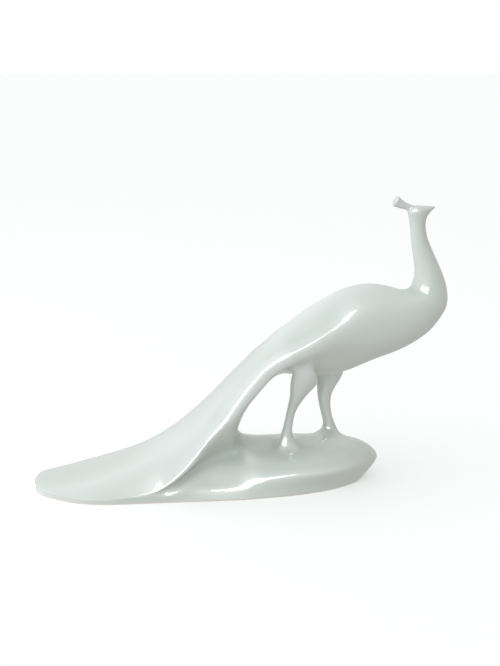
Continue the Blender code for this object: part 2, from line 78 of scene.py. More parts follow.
# Body, neck and head, from where the train leaves the mound to the beak: the top and the bottom
# of each section, its half width, the height of its widest line between bottom and top, how far
# that line is drawn out to an edge, and the number of rings up to the next section
SECTIONS = [
    (115.8, 57.7, 133.2, 39.0, 30.6, 0.54, 1.00, 2),
    (130.0, 72.2, 143.2, 58.0, 28.8, 0.50, 1.00, 1),
    (139.0, 81.1, 151.5, 68.0, 27.8, 0.51, 1.00, 1),
    (147.0, 89.2, 160.0, 74.5, 27.2, 0.55, 1.00, 1),
    (158.0, 100.3, 169.0, 73.5, 27.0, 0.57, 1.00, 2),
    (172.0, 111.3, 187.0, 70.8, 25.0, 0.60, 1.00, 2),
    (187.0, 121.5, 206.0, 74.3, 22.0, 0.59, 0.80, 2),
    (203.0, 129.2, 225.0, 81.8, 19.6, 0.52, 0.15, 2),
    (219.0, 132.6, 245.0, 89.2, 17.4, 0.50, 0.00, 2),
    (233.0, 131.0, 263.5, 101.6, 15.6, 0.50, 0.00, 2),
    (242.0, 128.2, 273.7, 118.5, 13.0, 0.50, 0.00, 1),
    (248.2, 129.0, 272.9, 130.0, 10.5, 0.50, 0.00, 1),
    (251.3, 138.0, 268.6, 142.0, 8.4, 0.50, 0.00, 1),
    (250.3, 148.5, 262.8, 154.0, 6.6, 0.50, 0.00, 1),
    (248.3, 160.5, 258.9, 163.3, 5.5, 0.50, 0.00, 1),
    (247.2, 170.5, 257.5, 170.4, 5.1, 0.50, 0.00, 1),
    (246.0, 176.8, 257.8, 174.8, 5.4, 0.50, 0.00, 1),
    (244.8, 181.0, 258.9, 177.4, 5.7, 0.50, 0.00, 1),
    (248.4, 183.9, 260.1, 179.2, 5.2, 0.50, 0.00, 1),
    (253.8, 183.8, 261.3, 180.3, 3.8, 0.50, 0.00, 1),
    (258.6, 183.4, 262.4, 181.5, 2.1, 0.50, 0.00, 1),
    (262.6, 183.3, 263.4, 182.3, 0.7, 0.50, 0.00, 0),
]
NEAR_THIGH = 158.0
FAR_THIGH = 172.0
CREST_HEIGHT = 181.0
CREST_ROWS = (2, 3)
ROUND_TURN = 67.5
UPPER_SPREAD = 0.96
BELLY_SPREAD = [(133, 0.68), (141.5, 0.77), (150, 0.86)]

# Train where it lies on the mound: its side columns, and curves along the length
TAIL_COLUMNS = [17.6, 28, 40, 53, 66, 78, 88, 97, 105, 113, 121.2]
TAIL_END = 53.0
TAIL_BULGE = 17.6
TAIL_BULGE_POWER = 2.2
MEETING_BULGE = 2.4
TIP_OFFSET = 3.3
TIP_REACH = 25.0
TIP_POWER = 1.5
RIM_HEIGHT = [(0, 4.2), (40, 4.2), (66, 6.5), (80, 10.3), (90, 16.7), (100, 24.3), (121.2, 46.4)]
RIDGE_HEIGHT = [(0, 4.2), (30, 10.6), (60, 20.0), (85, 32.9), (103, 45.8), (121.2, 62.6)]
CROWN_POWER = [(40, 4.0), (60, 3.4), (80, 2.7), (100, 2.4), (121.2, 2.2), (160, 1.5)]
CROWD_POWER = 0.65
RIM_HALF_WIDTH = [(TAIL_END, 37.3), (85, 37.0), (100, 36.0), (110, 34.0), (121.2, 31.5)]
PARTING = (80, 112)
TAIL_END_INSET = 0.02
TAIL_SIDE_INSET = 0.3
UNDER_RIM_OUTSET = 0.1

# How the columns lean forward on their way down from the rim to the ground
LEAN_START = 66.0
LEAN_POWER = 1.6
VALLEY_LEAN = 8.5
SHOULDER_LEAN = 11.9
SIDE_LEAN = 13.0
GROUND_LEAN = 13.4

# Valley between the train and the mound, and the saddle where it ends in the opening
VALLEY_HALF_WIDTH = [(80, 37.4), (90, 33.5), (100, 28), (115, 21), (129.5, 16)]
VALLEY_HEIGHT = [(80, 6.5), (90, 11.2), (100, 17.5), (114, 25.0), (129.5, 28.8)]
SADDLE = (133.2, 39.0)
SADDLE_SWEEP = (3.7, 16.0, 10.2)

# Mound: columns of its top from the saddle to the bow
MOUND_COLUMNS = [138.3, 147, 158, 166.5, 175, 189, 197.5, 206, 214, 221]
NEAR_FOOT = 166.5
FAR_FOOT = 197.5
MOUND_SWEEP = 16.2
MOUND_SWEEP_START = 150.0
MOUND_SWEEP_POWER = 2.2
SADDLE_SHARES = [0.6, 0.3]
SADDLE_SHOULDER_RISE = 2.5
SADDLE_SIDE_LEAN = 6.0
SADDLE_LEAN_COLUMNS = 3
SLOPE_SHARE = 0.55
MOUND_ROWS = [(0, 0), (1, 0.27), (2, 0.52), (3, 0.73)]
MOUND_HEIGHT = [(138.3, 30.5), (147, 29), (200, 29), (208, 28), (217, 25), (224, 21), (229.5, 15.5)]
GROUND_HALF_WIDTH = 38.4
SHOULDER_HALF_WIDTH = [(85, 35.5), (100, 31.0), (115, 31.8), (130, 33.0), (150, 34.6), (172, 35.6)]
SHOULDER_HEIGHT = [(85, 6.5), (100, 10.0), (130, 11.5), (150, 12.5), (172, 14.0)]
MOUND_ROUNDNESS = 0.92
SIDE_SHARE = 0.55
SIDE_BULGE = 0.62
GROUND_TAPER = (100, 219.5, 3, 0.6)
SHOULDER_TAPER = (150, 229.5, 3.6, 1.15)

# Bow: its tip on the shoulder and on the ground, and the last columns of its sides
BOW = 229.5
BOW_AT_GROUND = 219.3
BOW_SIDE = 208.0
BOW_GROUND_SIDE = 200.0
BOW_POWER = 1.33
BOW_MIDDLE = 195.0
BOW_INSET = 0.25
BOW_SWELL = 3.2
BOW_SWELL_POWER = 4
BOW_UNDERCUT = 5.0
BOW_UNDERCUT_POWER = 3
BOW_SIDE_SHARE = 0.66

# Legs from thigh to foot: place along and up, place across as a share of half the legs' spacing,
# half thickness along and across as shares of half the shank's, and outward rise of the section
NEAR_LEG = [(175.8, 76.0, 1.75, 2.75, 2.15, 0.40), (175.8, 70.0, 1.62, 2.95, 2.10, 0.25),
            (173.3, 63.5, 1.44, 2.05, 1.85, 0.10), (170.9, 57.0, 1.20, 1.42, 1.48, 0),
            (168.4, 49.5, 1.03, 1.00, 1.02, 0), (166.8, 41.5, 1.00, 0.98, 1.00, 0),
            (165.9, 36.5, 1.00, 1.12, 1.14, 0), (165.6, 31.6, 1.00, 1.70, 1.70, 0)]
FAR_LEG = [(198.0, 77.0, 1.75, 3.05, 2.15, 0.40), (197.9, 71.0, 1.62, 3.38, 2.10, 0.25),
           (197.0, 64.0, 1.44, 2.62, 1.85, 0.10), (194.6, 57.0, 1.20, 1.78, 1.55, 0),
           (194.2, 49.5, 1.03, 1.34, 1.20, 0), (195.4, 42.0, 1.00, 1.20, 1.08, 0),
           (196.9, 36.5, 1.00, 1.22, 1.18, 0), (197.6, 31.6, 1.00, 1.75, 1.75, 0)]
LEG_CORNERS = [radians(225 + 45 * corner) for corner in range(8)]

# First row of the squares that each leg grows from, in the belly and in the mound
NEAR_LEG_ROWS = (0, 1)
FAR_LEG_ROWS = (4, 3)

# Crest on the back of the head: centre, half thickness and half width
CREST_ROOT = (245.2, 183.0)
CREST = [(241.9, 184.3, 2.6, 2.4), (238.8, 186.0, 3.0, 2.8), (236.8, 187.15, 3.15, 3.1)]
CREST_CORNERS = [(-0.75, -1), (-1, 0), (-0.75, 1), (0.75, 1), (1, 0), (0.75, -1)]

# Passes that move the cage so that its smooth surface goes through the points of the drawing
FIT_PASSES = 2

# Iron specks in the glaze, their size and strength, and how far up the foot ring is bare;
# both end softly, over this share of their size to either side
SPECKS = [(0.0750, -0.0192, 0.1201), (0.0317, -0.0281, 0.0192)]
SPECK_RADIUS = 0.0005
SPECK_STRENGTH = 0.75
FOOT_RING_GLAZE_LINE = 0.0007
SOFT_END = 0.3

# Smoothing passes that find narrow and broad hollows, which get pooled glaze and painted shade,
# and the depth of a full one; then the passes that soften the glaze's thickness and the painted
# shade of what faces down
HOLLOWS = [(6, 0.00012), (60, 0.0009)]
GLAZE_PASSES = 4
UPWARD_PASSES = 8

# Noise in the glaze, in cells per metre: drifts of its colour, a faint dark speckle, and the
# swells of its surface, coarse and fine, each with its share
DRIFT_CELLS = 18.0
DRIFT_DETAIL = 3.0
DRIFT_IN_THICKNESS = 0.35
DRIFT_IN_SHADE = 0.3
SPECKLE_CELLS = 900.0
SPECKLE_RANGE = (0.76, 0.80)
SPECKLE_STRENGTH = 0.06
SWELLS = [(42.0, 0.7), (130.0, 0.3)]
SWELL_HEIGHT = 0.0012
SWELL_STRENGTH = 0.12

# Porcelain below the glaze, and how light goes into it
BODY_ROUGHNESS = 0.32
BARE_ROUGHNESS = 0.67
GLAZE_IOR = 1.52
TRANSLUCENCY = 0.12
TRANSLUCENT_DEPTH = 0.004
TRANSLUCENT_REACH = (1.0, 0.9, 0.8)

# White paper that the figurine is shown on; it glows a little, so that it stays plain
FLOOR_REACH = 60.0
PAPER = (0.86, 0.86, 0.86)
PAPER_ROUGHNESS = 0.7
PAPER_GRAIN = 6.0
PAPER_MOTTLE = 1.01
PAPER_GLOW = 0.27

# Where the two lights stand, seen from the figurine, and their size
WINDOW = {"turn": -24, "elevation": 36, "distance": 1.4, "size": (1.13, 0.60)}
SIDE_LIGHT = {"turn": -85, "elevation": 5, "distance": 1.2, "size": (0.80, 0.80)}
SENSOR_WIDTH = 36.0


def mix(a, b, share):
    return a + (b - a) * share


def smoothstep(low, high, x):
    s = min(max((x - low) / (high - low), 0), 1)
    return s * s * (3 - 2 * s)


def nearest(values, value):
    """Number of the one of the values that lies nearest to value."""
    return min(range(len(values)), key=lambda i: abs(values[i] - value))


def curve(points, x):
    """Height at x of a smooth curve through the points, level beyond its ends."""
    xs, ys = np.array(points, float).T
    steps = np.diff(xs)
    slopes = np.diff(ys) / steps
    tangents = np.concatenate([slopes[:1], (slopes[:-1] + slopes[1:]) / 2, slopes[-1:]])
    tangents[1:-1][slopes[:-1] * slopes[1:] <= 0] = 0
    x = min(max(x, xs[0]), xs[-1])
    i = min(int(np.searchsorted(xs, x, side="right")) - 1, len(steps) - 1)
    s = (x - xs[i]) / steps[i]
    rise, start, end = ys[i + 1] - ys[i], tangents[i] * steps[i], tangents[i + 1] * steps[i]
    return ys[i] + start * s + (3 * rise - 2 * start - end) * s**2 + (start + end - 2 * rise) * s**3


def crowded(t):
    """Share of the half width at t; the rows lie closer together near the rims."""
    return np.sign(t) * abs(t) ** CROWD_POWER


def tail_half_width(x, full):
    """Half width of the tail's rounded end, half an ellipse, and of the straight run after it."""
    reach = min(max((TAIL_END - x) / TAIL_END, 0), 1)
    return full * (1 - reach**2) ** 0.5


def rim_half_width(x):
    full = curve(RIM_HALF_WIDTH, x)
    return tail_half_width(x, full)


def tapered(x, start, end, power, roundness):
    """Share of the full width left at x, from 1 at the start of a taper to 0 at its end."""
    reach = min(max((x - start) / (end - start), 0), 1)
    return (1 - reach**power) ** roundness


def ground_half_width(x):
    return tail_half_width(x, GROUND_HALF_WIDTH) * tapered(x, *GROUND_TAPER)


def shoulder_half_width(x):
    return curve(SHOULDER_HALF_WIDTH, x) * tapered(x, *SHOULDER_TAPER)


def mound_height(x, y):
    share = min(abs(y) / max(shoulder_half_width(x), 1), 1)
    shoulder = curve(SHOULDER_HEIGHT, x)
    return shoulder + (curve(MOUND_HEIGHT, x) - shoulder) * (1 - share**2) ** MOUND_ROUNDNESS


def bow_line(t, tip, side_x):
    """Plan point of a loop round the bow, whose last side column is at side_x."""
    x = tip - (tip - side_x) * abs(t) ** BOW_POWER
    width = shoulder_half_width(x) if tip == BOW else ground_half_width(x)
    return x, 0.0 if t == 0 else width * np.sign(t)


def body_sections():
    """The sections with the rings between them, and the number of each section's own ring."""
    keys = np.array([section[:7] for section in SECTIONS], float)
    rings, starts = [], []
    for i, section in enumerate(SECTIONS):
        starts.append(len(rings))
        rings.append(keys[i])
        before, after = keys[max(i - 1, 0)], keys[min(i + 2, len(keys) - 1)]
        for step in range(1, section[7]):
            s = step / section[7]
            a, b = keys[i], keys[i + 1]
            rings.append(a + 0.5 * ((b - before) * s + (2 * before - 5 * a + 4 * b - after) * s**2
                                    + (3 * a - before - 3 * b + after) * s**3))
    return rings, starts


class FigurineCage:
    """Closed cage of quads whose smooth surface is the figurine, from its sizes in metres."""

    def __init__(self, length, width, height, rim, shank, leg_spacing, foot_ring, recess):
        self.unit = Vector((length / GRID_LENGTH, width / GRID_WIDTH, height / GRID_HEIGHT))
        self.rim = rim / self.unit.z
        self.shank = shank
        self.leg_spacing = leg_spacing
        self.foot_ring = foot_ring
        self.recess = recess
        self.mesh = bmesh.new()

    def point(self, x, y, z):
        """Place of a point of the grid; the tail's tip is set a little to one side."""
        aside = TIP_OFFSET * min(max(1 - x / TIP_REACH, 0), 1) ** TIP_POWER
        return Vector((x * self.unit.x, (y + aside) * self.unit.y, z * self.unit.z))

    def add(self, place):
        return self.mesh.verts.new(place)

    def bridge(self, loops):
        """Quads between closed loops of as many vertices."""
        for one, two in zip(loops, loops[1:]):
            for i in range(len(one)):
                n = (i + 1) % len(one)
                self.mesh.faces.new((one[i], one[n], two[n], two[i]))

    def patch(self, lines, skipped=()):
        """Quads between open lines of as many vertices, but for the ones in skipped."""
        for c, (one, two) in enumerate(zip(lines, lines[1:])):
            for row in range(len(one) - 1):
                if (c, row) not in skipped:
                    self.mesh.faces.new((one[row], one[row + 1], two[row + 1], two[row]))

    def tail_top(self, column, t):
        """Grid point on the train's upper side, t from -1 at the near rim to 1 at the far rim."""
        share = column / (len(TAIL_COLUMNS) - 1)
        side_x = TAIL_COLUMNS[column]
        bulge = TAIL_BULGE * (1 - share) ** TAIL_BULGE_POWER + MEETING_BULGE * share**2
        x = side_x - bulge * (1 - t * t)
        spread = mix(1, UPPER_SPREAD, smoothstep(*PARTING, side_x))
        y = crowded(t) * rim_half_width(side_x) * spread
        inside = 1 - min(abs(y) / max(rim_half_width(x), 1), 1) ** curve(CROWN_POWER, x)
        lip = self.rim / 2 * abs(t) * smoothstep(*PARTING, side_x)
        return x, y, mix(curve(RIM_HEIGHT, x), curve(RIDGE_HEIGHT, x), inside) + lip

    def tail_side(self, column, t, level):
        """Point on the tail's side at one of the levels, on the rim's column and row."""
        side_x = TAIL_COLUMNS[column]
        x, y, rim = self.tail_top(column, t)
        side = np.sign(t)
        lean = max((side_x - LEAN_START) / (TAIL_COLUMNS[-1] - LEAN_START), 0) ** LEAN_POWER
        parted = smoothstep(*PARTING, side_x)
        low = rim * (1 - level / GROUND)
        if column == 0:
            x -= (TAIL_END - x) * TAIL_END_INSET * (1 - t * t)
            width = abs(y) * GROUND_HALF_WIDTH / RIM_HALF_WIDTH[0][1]
        else:
            width = ground_half_width(x)
        if level == UNDER_RIM:
            inset = TAIL_SIDE_INSET * (column > 0)
            width = mix(width - inset, rim_half_width(side_x) + UNDER_RIM_OUTSET, parted)
            return self.point(x, side * width, mix(low, rim - self.rim, parted))
        if level == VALLEY and side_x > VALLEY_HEIGHT[0][0]:
            x += VALLEY_LEAN * lean
            return self.point(x, side * curve(VALLEY_HALF_WIDTH, x), curve(VALLEY_HEIGHT, x))
        if level == SLOPE:
            valley = self.tail_side(column, t, VALLEY)
            return valley.lerp(self.tail_side(column, t, SHOULDER), 0.5)
        shoulder = curve(SHOULDER_HALF_WIDTH, x)
        middle = mix(shoulder, width, SIDE_BULGE)
        width = mix(width, {SHOULDER: shoulder, SIDE: middle}.get(level, width), parted)
        top = curve(SHOULDER_HEIGHT, x)
        height = mix(low, {SHOULDER: top, SIDE: top * SIDE_SHARE}.get(level, low), parted)
        leans = {SHOULDER: SHOULDER_LEAN, SIDE: SIDE_LEAN, GROUND: GROUND_LEAN}
        x += leans.get(level, VALLEY_LEAN) * lean
        return self.point(x, side * width, height)

    def section_ring(self, section):
        """The sixteen points of a section: upper rows, far edge, lower rows back, near edge."""
        top_x, top_z, bottom_x, bottom_z, half_width, widest, edge = section[:7]
        depth = np.hypot(top_x - bottom_x, top_z - bottom_z)
        lip = self.rim / 2 / depth
        spread = curve(BELLY_SPREAD, bottom_x)
        power = curve(CROWN_POWER, top_x)

        def place(y, share):
            return self.point(mix(bottom_x, top_x, share), y, mix(bottom_z, top_z, share))

        upper, lower = [], []
        for t in SIDES:
            turn = radians(ROUND_TURN) * t
            crown = (1 - widest) * (1 - abs(crowded(t)) ** power) + lip * abs(t)
            top_share = widest + mix((1 - widest) * cos(turn), crown, edge)
            low_share = mix(widest - widest * cos(turn), (widest - lip) * (t * spread) ** 2, edge)
            upper_y = half_width * mix(sin(turn), UPPER_SPREAD * crowded(t), edge)
            upper.append(place(upper_y, top_share))
            lower.append(place(half_width * mix(sin(turn), t * spread, edge), low_share))
        edges = [place(side * half_width, widest - lip * edge) for side in (1, -1)]
        return upper + edges[:1] + lower[::-1] + edges[1:]

    def mound_top(self, column, t):
        """Grid point on the mound's top; column 0 is the first one in front of the saddle."""
        if column == len(MOUND_COLUMNS) - 1:
            x, y = bow_line(t, BOW, BOW_SIDE)
            x, y = mix(x, BOW_MIDDLE, BOW_INSET), mix(y, 0, BOW_INSET)
            return x, y, mound_height(x, y)
        x = MOUND_COLUMNS[column]
        reach = max((x - MOUND_SWEEP_START) / (MOUND_COLUMNS[-1] - MOUND_SWEEP_START), 0)
        x -= MOUND_SWEEP * reach**MOUND_SWEEP_POWER * t * t
        y = curve(MOUND_ROWS, abs(t) * MOUND_ROWS[-1][0]) * shoulder_half_width(x)
        narrow = SADDLE_SHARES[column] if column < len(SADDLE_SHARES) else 0
        y = np.sign(t) * mix(y, abs(t) * SADDLE_SWEEP[1], narrow)
        return x, y, mound_height(x, y) + SADDLE_SHOULDER_RISE * narrow * t * t

    def mound_side(self, column, t, level):
        """Point on the mound's side at one of the levels from the slope down."""
        share = column / (len(MOUND_COLUMNS) - 1)
        inner = self.mound_top(column, t)
        if share == 1:
            top, ground = bow_line(t, BOW, BOW_SIDE), bow_line(t, BOW_AT_GROUND, BOW_GROUND_SIDE)
        else:
            x = inner[0] + SADDLE_SIDE_LEAN * max(1 - column / SADDLE_LEAN_COLUMNS, 0)
            top_x = x + BOW_SWELL * share**BOW_SWELL_POWER
            ground_x = x - BOW_UNDERCUT * share**BOW_UNDERCUT_POWER
            top = top_x, np.sign(t) * shoulder_half_width(top_x)
            ground = ground_x, np.sign(t) * ground_half_width(ground_x)
        if level == SLOPE:
            x, y = mix(inner[0], top[0], SLOPE_SHARE), mix(inner[1], top[1], SLOPE_SHARE)
            return self.point(x, y, mound_height(x, y))
        if level == SHOULDER:
            return self.point(*top, curve(SHOULDER_HEIGHT, top[0]))
        if level == SIDE:
            height = curve(SHOULDER_HEIGHT, top[0]) * SIDE_SHARE
            x = mix(ground[0], top[0], BOW_SIDE_SHARE)
            return self.point(x, mix(top[1], ground[1], SIDE_BULGE), height)
        return self.point(*ground, 0)

    def make_mound(self):
        """Tail, mound and underside. Returns the first ring of the body, which closes at the
        saddle, and the lines of the mound's top."""
        last_tail, last_mound = len(TAIL_COLUMNS) - 1, len(MOUND_COLUMNS) - 1
        first = [self.add(p) for p in self.section_ring(SECTIONS[0])[:FAR_EDGE + 1]]
        first_near = self.add(self.section_ring(SECTIONS[0])[NEAR_EDGE])
        tail = []
        for c in range(last_tail):
            tail.append([self.add(self.point(*self.tail_top(c, t))) for t in SIDES])
        tail.append(first[:FAR_EDGE])
        saddle_x, saddle_z = SADDLE
        back, wide, down = SADDLE_SWEEP
        saddle = [self.add(self.point(saddle_x - back * t * t, wide * t, saddle_z - down * t * t))
                  for t in SIDES]
        mound = [saddle]
        for c in range(last_mound + 1):
            mound.append([self.add(self.point(*self.mound_top(c, t))) for t in SIDES])

        # Way round the tail from the near side of the saddle to its far side, then round the bow
        round_tail = [(c, NEAR_ROW) for c in range(last_tail, -1, -1)]
        round_tail += [(0, row) for row in range(NEAR_ROW + 1, FAR_ROW)]
        round_tail += [(c, FAR_ROW) for c in range(last_tail + 1)]
        round_bow = [(c, FAR_ROW) for c in range(last_mound + 1)]
        round_bow += [(last_mound, row) for row in range(FAR_ROW - 1, NEAR_ROW, -1)]
        round_bow += [(c, NEAR_ROW) for c in range(last_mound, -1, -1)]

        rim = [tail[c][row] for c, row in round_tail]
        free = [(c, SIDES[row]) for c, row in round_tail[1:-1]]
        under_rim = [self.add(self.tail_side(c, t, UNDER_RIM)) for c, t in free]
        under_rim = [first_near] + under_rim + [first[FAR_EDGE]]
        valley = [self.add(self.tail_side(c, t, VALLEY)) for c, t in free]
        valley = [saddle[NEAR_ROW]] + valley + [saddle[FAR_ROW]]
        self.patch([rim, under_rim, valley])
        self.patch(tail)
        loops = [valley + [mound[c + 1][row] for c, row in round_bow]]
        for level in (SLOPE, SHOULDER, SIDE, GROUND):
            places = [self.tail_side(c, SIDES[row], level) for c, row in round_tail]
            places += [self.mound_side(c, SIDES[row], level) for c, row in round_bow]
            loops.append([self.add(p) for p in places])
        loops += self.underside(loops[-1], last_tail + FAR_ROW // 2)
        self.bridge(loops)
        self.sharp_loops = loops[-3:]
        near, far = (nearest(MOUND_COLUMNS, foot) for foot in (NEAR_FOOT, FAR_FOOT))
        skipped = {(near + c, NEAR_LEG_ROWS[1] + r) for c in (0, 1) for r in (0, 1)}
        skipped |= {(far + c, FAR_LEG_ROWS[1] + r) for c in (0, 1) for r in (0, 1)}
        self.patch(mound, skipped)
        return [first + saddle[::-1] + [first_near]], mound

    def underside(self, ground, middle):
        """The foot ring's inner edge and the recess inside it, closed from side to side."""
        plan = [vert.co.copy() for vert in ground]
        count = len(plan)
        inner, recess = [], []
        for i, place in enumerate(plan):
            along = plan[(i + 1) % count] - plan[i - 1]
            inward = Vector((along.y, -along.x, 0)).normalized()
            inner.append(self.add(place + inward * self.foot_ring))
            rise = Vector((0, 0, self.recess))
            recess.append(self.add(place + inward * (self.foot_ring + self.recess) + rise))
        for d in range(count // 2):
            corners = (middle - d, middle + d, middle + d + 1, middle - d - 1)
            self.mesh.faces.new([recess[i] for i in dict.fromkeys(c % count for c in corners)])
        return [inner, recess]

    def make_body(self, rings):
        """Body, neck and head, with holes for the legs and the crest; closes the beak."""
        sections, starts = body_sections()
        rings += [[self.add(p) for p in self.section_ring(s)] for s in sections[1:]]
        tops, heights = [section[0] for section in SECTIONS], [section[1] for section in SECTIONS]
        near, far = starts[nearest(tops, NEAR_THIGH)], starts[nearest(tops, FAR_THIGH)]
        crest = starts[nearest(heights, CREST_HEIGHT)]
        lowest = NEAR_EDGE - 2
        skipped = {(near + c, lowest - NEAR_LEG_ROWS[0] - r) for c in (0, 1) for r in (0, 1)}
        skipped |= {(far + c, lowest - FAR_LEG_ROWS[0] - r) for c in (0, 1) for r in (0, 1)}
        skipped |= {(crest, row) for row in CREST_ROWS}
        self.patch([ring + ring[:1] for ring in rings], skipped)
        tip = rings[-1]
        self.mesh.faces.new((tip[NEAR_EDGE], tip[NEAR_ROW], tip[NEAR_EDGE - 1]))
        self.mesh.faces.new((tip[FAR_ROW], tip[FAR_EDGE], tip[FAR_EDGE + 1]))
        for i in range(FAR_ROW):
            self.mesh.faces.new((tip[i], tip[i + 1], tip[lowest - i], tip[lowest + 1 - i]))
        return near, far, crest

    def make_leg(self, profile, side, thigh, toes):
        """Rings of eight vertices from a hole in the belly to a hole in the mound."""
        loops = [thigh]
        for x, z, across, thick, wide, rise in profile:
            centre = self.point(x, 0, z) + Vector((0, side * across * self.leg_spacing / 2, 0))
            along = Vector((thick, 0, 0)) * self.shank / 2
            outward = Vector((0, wide, side * rise * wide)) * self.shank / 2
            loops.append([self.add(centre + along * cos(a) + outward * sin(a))
                          for a in LEG_CORNERS])
        self.bridge(loops + [toes])

    def make_crest(self, back, front):
        """Fan of the crest, on a hole in the back of the head."""
        root = self.point(CREST_ROOT[0], 0, CREST_ROOT[1])
        along = (self.point(CREST[-1][0], 0, CREST[-1][1]) - root).normalized()
        thin = Vector((along.z, 0, -along.x))
        first, last = CREST_ROWS[0], CREST_ROWS[-1] + 2
        loops = [back[first:last] + front[first:last][::-1]]
        for x, z, thick, wide in CREST:
            centre = self.point(x, 0, z)
            across = Vector((0, wide * self.unit.y, 0))
            through = thin * thick * self.unit.z
            loops.append([self.add(centre + through * a + across * b) for a, b in CREST_CORNERS])
        self.bridge(loops)
        end = loops[-1]
        self.mesh.faces.new((end[0], end[1], end[4], end[5]))
        self.mesh.faces.new((end[1], end[2], end[3], end[4]))

    def build(self):
        """Makes the whole cage, closed and with its faces outwards, and returns its mesh."""
        rings, mound = self.make_mound()
        near, far, crest = self.make_body(rings)
        hole = [(0, 0), (0, 1), (0, 2), (1, 2), (2, 2), (2, 1), (2, 0), (1, 0)]
        for profile, side, ring, foot_x, (high_row, low_row) in (
                (NEAR_LEG, -1, near, NEAR_FOOT, NEAR_LEG_ROWS),
                (FAR_LEG, 1, far, FAR_FOOT, FAR_LEG_ROWS)):
            foot = nearest(MOUND_COLUMNS, foot_x)
            thigh = [rings[ring + c][NEAR_EDGE - 1 - high_row - r] for r, c in hole]
            toes = [mound[foot + c][low_row + r] for r, c in hole]
            self.make_leg(profile, side, thigh, toes)
        self.make_crest(rings[crest], rings[crest + 1])
        for vert in [v for v in self.mesh.verts if not v.link_faces]:
            self.mesh.verts.remove(vert)
        self.crease = self.mesh.edges.layers.float.new("crease_edge")
        for loop in self.sharp_loops:
            for one, two in zip(loop, loop[1:] + loop[:1]):
                self.mesh.edges.get((one, two))[self.crease] = 1.0
        bmesh.ops.recalc_face_normals(self.mesh, faces=self.mesh.faces)
        return self.mesh

    def limit_point(self, vert):
        """Where a vertex of the cage comes to lie on the smooth surface, from the weights that
        subdivision gives it and its neighbours."""
        others = [edge.other_vert(vert) for edge in vert.link_edges]
        sharp = [other.co for other, edge in zip(others, vert.link_edges) if edge[self.crease] > 0]
        if len(sharp) == 2:
            return (sharp[0] + 4 * vert.co + sharp[1]) / 6
        total = sum((other.co for other in others), Vector()) * 4
        for face in vert.link_faces:
            corner = [v.co for v in face.verts if v is not vert and v not in others]
            total += corner[0] if corner else vert.co
        count = len(others)
        return (count**2 * vert.co + total) / (count * (count + 5))

    def fit(self, passes):
        """Moves the cage so that its smooth surface passes through the points of the drawing."""
        wanted = [vert.co.copy() for vert in self.mesh.verts]
        for _ in range(passes):
            moves = [w - self.limit_point(vert) for vert, w in zip(self.mesh.verts, wanted)]
            for vert, move in zip(self.mesh.verts, moves):
                vert.co += move



class Number:
    """A number in a node tree; Python's operators on it add Math nodes."""

    def __init__(self, shading, socket):
        self.shading = shading
        self.socket = socket

    def math(self, operation, *values):
        inputs = dict(enumerate(values))
        return self.shading.number("ShaderNodeMath", {"operation": operation}, inputs)

    def __add__(self, other):
        return self.math("ADD", self, other)

    def __sub__(self, other):
        return self.math("SUBTRACT", self, other)

    def __rsub__(self, other):
        return self.math("SUBTRACT", other, self)

    def __mul__(self, other):
        return self.math("MULTIPLY", self, other)

    __radd__ = __add__
    __rmul__ = __mul__

    def clamped(self):
        return self.math("MINIMUM", self.math("MAXIMUM", self, 0.0), 1.0)

    def ramp(self, low, high):
        """0 below low, 1 above high and smooth between; low may be the larger one."""
        settings = {"interpolation_type": "SMOOTHSTEP"}
        return self.shading.number("ShaderNodeMapRange", settings, {0: self, 1: low, 2: high})


class Shading:
    """The node tree of a new material or world, and its shader."""

    def __init__(self, owner, shader):
        self.owner = owner
        owner.use_nodes = True
        self.tree = owner.node_tree
        self.shader = self.tree.nodes[shader]

    def set(self, node, inputs):
        for key, value in inputs.items():
            if isinstance(value, Number):
                self.tree.links.new(value.socket, node.inputs[key])
            elif isinstance(value, bpy.types.NodeSocket):
                self.tree.links.new(value, node.inputs[key])
            else:
                node.inputs[key].default_value = value

    def node(self, kind, settings=None, inputs=None):
        node = self.tree.nodes.new(kind)
        for key, value in (settings or {}).items():
            setattr(node, key, value)
        self.set(node, inputs or {})
        return node

    def number(self, kind, settings=None, inputs=None, output=0):
        return Number(self, self.node(kind, settings, inputs).outputs[output])

    def attribute(self, name):
        return self.number("ShaderNodeAttribute", {"attribute_name": name}, output="Fac")

    def noise(self, places, scale, detail=1.0):
        inputs = {"Vector": places, "Scale": scale, "Detail": detail}
        return self.number("ShaderNodeTexNoise", {}, inputs, "Fac")

    def mixed(self, share, one, two):
        """Colour between one and two."""
        node = self.node("ShaderNodeMix", {"data_type": "RGBA"})
        one, two = (value if isinstance(value, bpy.types.NodeSocket) else (*value, 1)
                    for value in (one, two))
        self.set(node, {"Factor": share, 6: one, 7: two})
        return node.outputs[2]

    def vector(self, operation, inputs):
        return self.node("ShaderNodeVectorMath", {"operation": operation}, inputs)

    def added(self, total, colour, share):
        """Total plus the colour times the share."""
        part = self.vector("SCALE", {0: colour, "Scale": share})
        return self.vector("ADD", {0: total, 1: part.outputs[0]}).outputs[0]

    def near(self, places, centre, radius):
        """1 within a small blob round centre, 0 outside it."""
        away = self.vector("DISTANCE", {0: places, 1: centre})
        return within(Number(self, away.outputs["Value"]), radius)


def within(distance, limit):
    """1 below the limit and 0 above it, with a soft end."""
    return distance.ramp(limit * (1 + SOFT_END), limit * (1 - SOFT_END))


def rgb(*channels):
    """Linear colour from the channels of a display colour, 0 to 255."""
    shares = [channel / 255 for channel in channels]
    return tuple(s / 12.92 if s <= 0.04045 else ((s + 0.055) / 1.055) ** 2.4 for s in shares)


